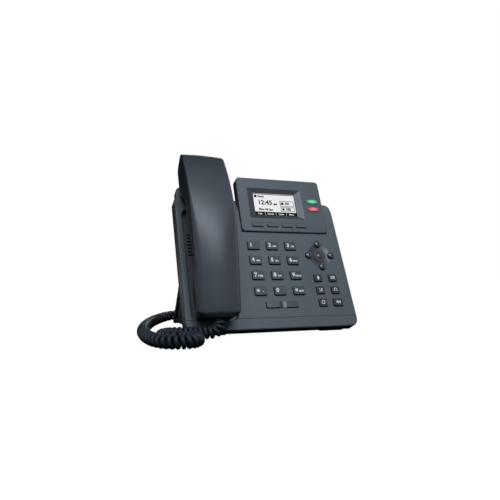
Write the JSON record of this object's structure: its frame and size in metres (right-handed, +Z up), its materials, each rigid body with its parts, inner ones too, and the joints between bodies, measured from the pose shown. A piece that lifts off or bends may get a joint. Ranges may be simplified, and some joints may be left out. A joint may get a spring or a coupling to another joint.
{
  "type": "desk telephone",
  "caption": "Desk telephone with a sloping keypad, a raised screen housing, a handset in a cradle with a curly cord, and a rear stand.",
  "frame": {"origin": "on the desk, under the middle of the phone's bounding box without its cord", "axes": "+X to the right of a person who sits at the phone, +Y away from them, +Z up"},
  "size_m": [0.236, 0.2674, 0.19],
  "materials": {
    "housing_plastic": "fine moulded texture",
    "case_plastic": "fine moulded texture",
    "handset_plastic": "satin",
    "key_plastic": "satin, white printed legends",
    "ring_gloss": "glossy",
    "green_light_pipe": "lit, translucent",
    "red_light_pipe": "lit, translucent",
    "screen_window": "clear, anti-glare",
    "screen_panel": "backlit white",
    "circuit_board": "solder resist",
    "silicone": "matt",
    "screw_steel": "zinc plated",
    "speaker_metal": "black",
    "socket_plastic": "moulded",
    "cord_jacket": "satin coil",
    "plug_clear": "smoked"
  },
  "bodies": {
    "base": {"upper_housing": "housing_plastic", "lower_housing": "case_plastic", "housing_screws": "screw_steel", "screen_bezel": "housing_plastic", "screen_back_cover": "case_plastic", "lcd_lens": "screen_window", "lcd_module": "screen_panel", "screen_board": "circuit_board", "nav_ring": "ring_gloss", "keypad_mat": "silicone", "main_board": "circuit_board", "speaker_driver": "speaker_metal", "base_microphone": "speaker_metal", "hook_tab": "case_plastic", "handset_ports": "socket_plastic", "network_ports": "socket_plastic", "power_jack": "socket_plastic", "stand": "case_plastic", "stand_pads": "silicone", "front_feet": "silicone", "cord_base_plug": "plug_clear", "handset_cord": "cord_jacket"},
    "handset": {"handset_outer_shell": "handset_plastic", "handset_inner_shell": "handset_plastic", "receiver_capsule": "speaker_metal", "handset_microphone": "speaker_metal", "handset_screws": "screw_steel", "handset_jack": "socket_plastic", "cord_handset_plug": "plug_clear"},
    "key_1_body": {"key_1": "key_plastic"},
    "key_2_body": {"key_2": "key_plastic"},
    "key_3_body": {"key_3": "key_plastic"},
    "key_4_body": {"key_4": "key_plastic"},
    "key_5_body": {"key_5": "key_plastic"},
    "key_6_body": {"key_6": "key_plastic"},
    "key_7_body": {"key_7": "key_plastic"},
    "key_8_body": {"key_8": "key_plastic"},
    "key_9_body": {"key_9": "key_plastic"},
    "key_star_body": {"key_star": "key_plastic"},
    "key_0_body": {"key_0": "key_plastic"},
    "key_hash_body": {"key_hash": "key_plastic"},
    "mute_key_body": {"mute_key": "key_plastic"},
    "message_key_body": {"message_key": "key_plastic"},
    "transfer_key_body": {"transfer_key": "key_plastic"},
    "hold_key_body": {"hold_key": "key_plastic"},
    "redial_key_body": {"redial_key": "key_plastic"},
    "speaker_key_body": {"speaker_key": "key_plastic"},
    "nav_ok_body": {"nav_ok": "key_plastic"},
    "nav_right_body": {"nav_right": "key_plastic"},
    "nav_up_body": {"nav_up": "key_plastic"},
    "nav_left_body": {"nav_left": "key_plastic"},
    "nav_down_body": {"nav_down": "key_plastic"},
    "soft_key_1_body": {"soft_key_1": "key_plastic"},
    "soft_key_2_body": {"soft_key_2": "key_plastic"},
    "soft_key_3_body": {"soft_key_3": "key_plastic"},
    "soft_key_4_body": {"soft_key_4": "key_plastic"},
    "line_key_1_body": {"line_key_1": "green_light_pipe"},
    "line_key_2_body": {"line_key_2": "red_light_pipe"},
    "volume_rocker_body": {"volume_rocker": "key_plastic"},
    "hook_plunger_body": {"hook_plunger": "case_plastic"}
  },
  "joints": [
    {"name": "handset_lift", "type": "slide", "parent": "base", "child": "handset", "axis": [0, -0.907, 0.421], "range_m": [0, 0.12]},
    {"name": "hook_rise", "type": "slide", "parent": "base", "child": "hook_plunger_body", "axis": [0, -0.907, 0.421], "range_m": [0, 0.0035]},
    {"name": "key_1_press", "type": "slide", "parent": "base", "child": "key_1_body", "axis": [0, 0.907, -0.421], "range_m": [0, 0.001], "stiffness_N_per_m": 300, "springref_m": -0.001},
    {"name": "key_2_press", "type": "slide", "parent": "base", "child": "key_2_body", "axis": [0, 0.907, -0.421], "range_m": [0, 0.001], "stiffness_N_per_m": 300, "springref_m": -0.001},
    {"name": "key_3_press", "type": "slide", "parent": "base", "child": "key_3_body", "axis": [0, 0.907, -0.421], "range_m": [0, 0.001], "stiffness_N_per_m": 300, "springref_m": -0.001},
    {"name": "key_4_press", "type": "slide", "parent": "base", "child": "key_4_body", "axis": [0, 0.907, -0.421], "range_m": [0, 0.001], "stiffness_N_per_m": 300, "springref_m": -0.001},
    {"name": "key_5_press", "type": "slide", "parent": "base", "child": "key_5_body", "axis": [0, 0.907, -0.421], "range_m": [0, 0.001], "stiffness_N_per_m": 300, "springref_m": -0.001},
    {"name": "key_6_press", "type": "slide", "parent": "base", "child": "key_6_body", "axis": [0, 0.907, -0.421], "range_m": [0, 0.001], "stiffness_N_per_m": 300, "springref_m": -0.001},
    {"name": "key_7_press", "type": "slide", "parent": "base", "child": "key_7_body", "axis": [0, 0.907, -0.421], "range_m": [0, 0.001], "stiffness_N_per_m": 300, "springref_m": -0.001},
    {"name": "key_8_press", "type": "slide", "parent": "base", "child": "key_8_body", "axis": [0, 0.907, -0.421], "range_m": [0, 0.001], "stiffness_N_per_m": 300, "springref_m": -0.001},
    {"name": "key_9_press", "type": "slide", "parent": "base", "child": "key_9_body", "axis": [0, 0.907, -0.421], "range_m": [0, 0.001], "stiffness_N_per_m": 300, "springref_m": -0.001},
    {"name": "key_star_press", "type": "slide", "parent": "base", "child": "key_star_body", "axis": [0, 0.907, -0.421], "range_m": [0, 0.001], "stiffness_N_per_m": 300, "springref_m": -0.001},
    {"name": "key_0_press", "type": "slide", "parent": "base", "child": "key_0_body", "axis": [0, 0.907, -0.421], "range_m": [0, 0.001], "stiffness_N_per_m": 300, "springref_m": -0.001},
    {"name": "key_hash_press", "type": "slide", "parent": "base", "child": "key_hash_body", "axis": [0, 0.907, -0.421], "range_m": [0, 0.001], "stiffness_N_per_m": 300, "springref_m": -0.001},
    {"name": "mute_key_press", "type": "slide", "parent": "base", "child": "mute_key_body", "axis": [0, 0.907, -0.421], "range_m": [0, 0.001], "stiffness_N_per_m": 300, "springref_m": -0.001},
    {"name": "message_key_press", "type": "slide", "parent": "base", "child": "message_key_body", "axis": [0, 0.907, -0.421], "range_m": [0, 0.001], "stiffness_N_per_m": 300, "springref_m": -0.001},
    {"name": "transfer_key_press", "type": "slide", "parent": "base", "child": "transfer_key_body", "axis": [0, 0.907, -0.421], "range_m": [0, 0.001], "stiffness_N_per_m": 300, "springref_m": -0.001},
    {"name": "hold_key_press", "type": "slide", "parent": "base", "child": "hold_key_body", "axis": [0, 0.907, -0.421], "range_m": [0, 0.001], "stiffness_N_per_m": 300, "springref_m": -0.001},
    {"name": "redial_key_press", "type": "slide", "parent": "base", "child": "redial_key_body", "axis": [0, 0.907, -0.421], "range_m": [0, 0.001], "stiffness_N_per_m": 300, "springref_m": -0.001},
    {"name": "speaker_key_press", "type": "slide", "parent": "base", "child": "speaker_key_body", "axis": [0, 0.907, -0.421], "range_m": [0, 0.001], "stiffness_N_per_m": 300, "springref_m": -0.001},
    {"name": "nav_ok_press", "type": "slide", "parent": "base", "child": "nav_ok_body", "axis": [0, 0.907, -0.421], "range_m": [0, 0.001], "stiffness_N_per_m": 300, "springref_m": -0.001},
    {"name": "nav_right_press", "type": "slide", "parent": "base", "child": "nav_right_body", "axis": [0, 0.907, -0.421], "range_m": [0, 0.001], "stiffness_N_per_m": 300, "springref_m": -0.001},
    {"name": "nav_up_press", "type": "slide", "parent": "base", "child": "nav_up_body", "axis": [0, 0.907, -0.421], "range_m": [0, 0.001], "stiffness_N_per_m": 300, "springref_m": -0.001},
    {"name": "nav_left_press", "type": "slide", "parent": "base", "child": "nav_left_body", "axis": [0, 0.907, -0.421], "range_m": [0, 0.001], "stiffness_N_per_m": 300, "springref_m": -0.001},
    {"name": "nav_down_press", "type": "slide", "parent": "base", "child": "nav_down_body", "axis": [0, 0.907, -0.421], "range_m": [0, 0.001], "stiffness_N_per_m": 300, "springref_m": -0.001},
    {"name": "soft_key_1_press", "type": "slide", "parent": "base", "child": "soft_key_1_body", "axis": [0, 0.9285, -0.3714], "range_m": [0, 0.001], "stiffness_N_per_m": 300, "springref_m": -0.001},
    {"name": "soft_key_2_press", "type": "slide", "parent": "base", "child": "soft_key_2_body", "axis": [0, 0.9285, -0.3714], "range_m": [0, 0.001], "stiffness_N_per_m": 300, "springref_m": -0.001},
    {"name": "soft_key_3_press", "type": "slide", "parent": "base", "child": "soft_key_3_body", "axis": [0, 0.9285, -0.3714], "range_m": [0, 0.001], "stiffness_N_per_m": 300, "springref_m": -0.001},
    {"name": "soft_key_4_press", "type": "slide", "parent": "base", "child": "soft_key_4_body", "axis": [0, 0.9285, -0.3714], "range_m": [0, 0.001], "stiffness_N_per_m": 300, "springref_m": -0.001},
    {"name": "line_key_1_press", "type": "slide", "parent": "base", "child": "line_key_1_body", "axis": [0, 0.9285, -0.3714], "range_m": [0, 0.001], "stiffness_N_per_m": 300, "springref_m": -0.001},
    {"name": "line_key_2_press", "type": "slide", "parent": "base", "child": "line_key_2_body", "axis": [0, 0.9285, -0.3714], "range_m": [0, 0.001], "stiffness_N_per_m": 300, "springref_m": -0.001},
    {"name": "volume_rock", "type": "hinge", "parent": "base", "child": "volume_rocker_body", "pos_m": [0.00909, -0.05179, 0.02713], "axis": [0, 0.421, 0.907], "range_deg": [-3, 3], "stiffness_Nm_per_rad": 0.05}
  ],
  "couplings": [
    {"joint": "hook_rise", "follows": "handset_lift", "ratio": 0.02916}
  ]
}
